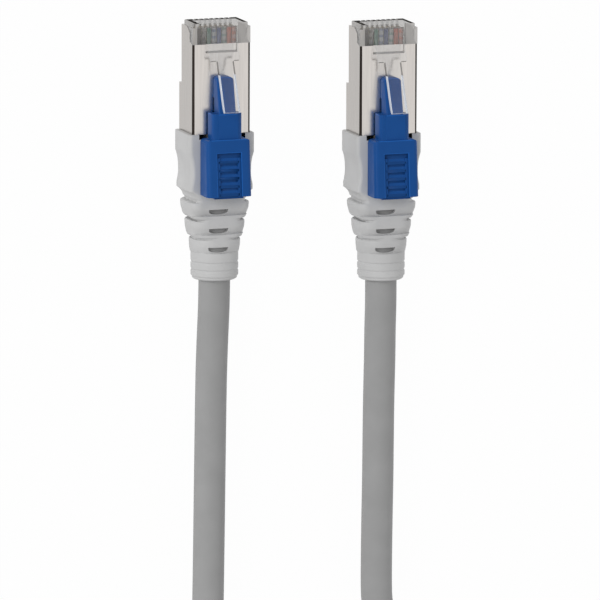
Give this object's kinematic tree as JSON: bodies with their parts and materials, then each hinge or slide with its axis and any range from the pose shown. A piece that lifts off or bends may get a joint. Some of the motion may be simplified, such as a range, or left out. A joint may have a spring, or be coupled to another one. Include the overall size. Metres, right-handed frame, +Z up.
{
  "type": "ethernet patch cable",
  "caption": "Shielded patch cable: a modular plug on each end with spring latch, sliding latch lock and ribbed boot, joined by a round grey cable.",
  "frame": {"origin": "middle of the two plugs with their boots, on the surface they lie on", "axes": "+Y from the boots to the noses, +Z up through the latches, +X from end a to end b"},
  "size_m": [0.0772, 0.2029, 0.0153],
  "materials": {
    "clear_plastic": "clear",
    "gold_plate": "polished",
    "orange_insulation": "satin",
    "green_insulation": "satin",
    "blue_insulation": "satin",
    "brown_insulation": "satin",
    "pair_foil": "bright foil",
    "tinned_braid": "woven",
    "grey_jacket": "matt",
    "nickel_sheet": "bright nickel",
    "crimp_metal": "plain",
    "light_grey_boot": "matt",
    "blue_plastic": "satin gloss"
  },
  "bodies": {
    "cable_and_plugs": {"plug_housing_a": "clear_plastic", "load_bar_a": "clear_plastic", "contacts_a": "gold_plate", "orange_pair_a": "orange_insulation", "green_pair_a": "green_insulation", "blue_pair_a": "blue_insulation", "brown_pair_a": "brown_insulation", "pair_foils_a": "pair_foil", "braid_a": "tinned_braid", "jacket_end_a": "grey_jacket", "shield_a": "nickel_sheet", "crimp_collar_a": "crimp_metal", "boot_a": "light_grey_boot", "plug_housing_b": "clear_plastic", "load_bar_b": "clear_plastic", "contacts_b": "gold_plate", "orange_pair_b": "orange_insulation", "green_pair_b": "green_insulation", "blue_pair_b": "blue_insulation", "brown_pair_b": "brown_insulation", "pair_foils_b": "pair_foil", "braid_b": "tinned_braid", "jacket_end_b": "grey_jacket", "shield_b": "nickel_sheet", "crimp_collar_b": "crimp_metal", "boot_b": "light_grey_boot", "cable_run_a": "grey_jacket", "cable_coil": "grey_jacket", "cable_run_b": "grey_jacket"},
    "latch_a": {"latch_a": "clear_plastic"},
    "lock_a": {"lock_slider_a": "blue_plastic"},
    "latch_b": {"latch_b": "clear_plastic"},
    "lock_b": {"lock_slider_b": "blue_plastic"}
  },
  "joints": [
    {"name": "lock_slide_a", "type": "slide", "parent": "cable_and_plugs", "child": "lock_a", "axis": [0, -1, 0], "range_m": [0, 0.007]},
    {"name": "latch_press_a", "type": "hinge", "parent": "cable_and_plugs", "child": "latch_a", "pos_m": [-0.017, 0.02465, 0.00842], "axis": [1, 0, 0], "range_deg": [0, 10], "stiffness_Nm_per_rad": 0.01},
    {"name": "lock_slide_b", "type": "slide", "parent": "cable_and_plugs", "child": "lock_b", "axis": [0, -1, 0], "range_m": [0, 0.007]},
    {"name": "latch_press_b", "type": "hinge", "parent": "cable_and_plugs", "child": "latch_b", "pos_m": [0.017, 0.02285, 0.00842], "axis": [1, 0, 0], "range_deg": [0, 10], "stiffness_Nm_per_rad": 0.01}
  ],
  "couplings": [
    {"joint": "latch_press_a", "follows": "lock_slide_a", "rad_per_m": 24.93},
    {"joint": "latch_press_b", "follows": "lock_slide_b", "rad_per_m": 24.93}
  ]
}
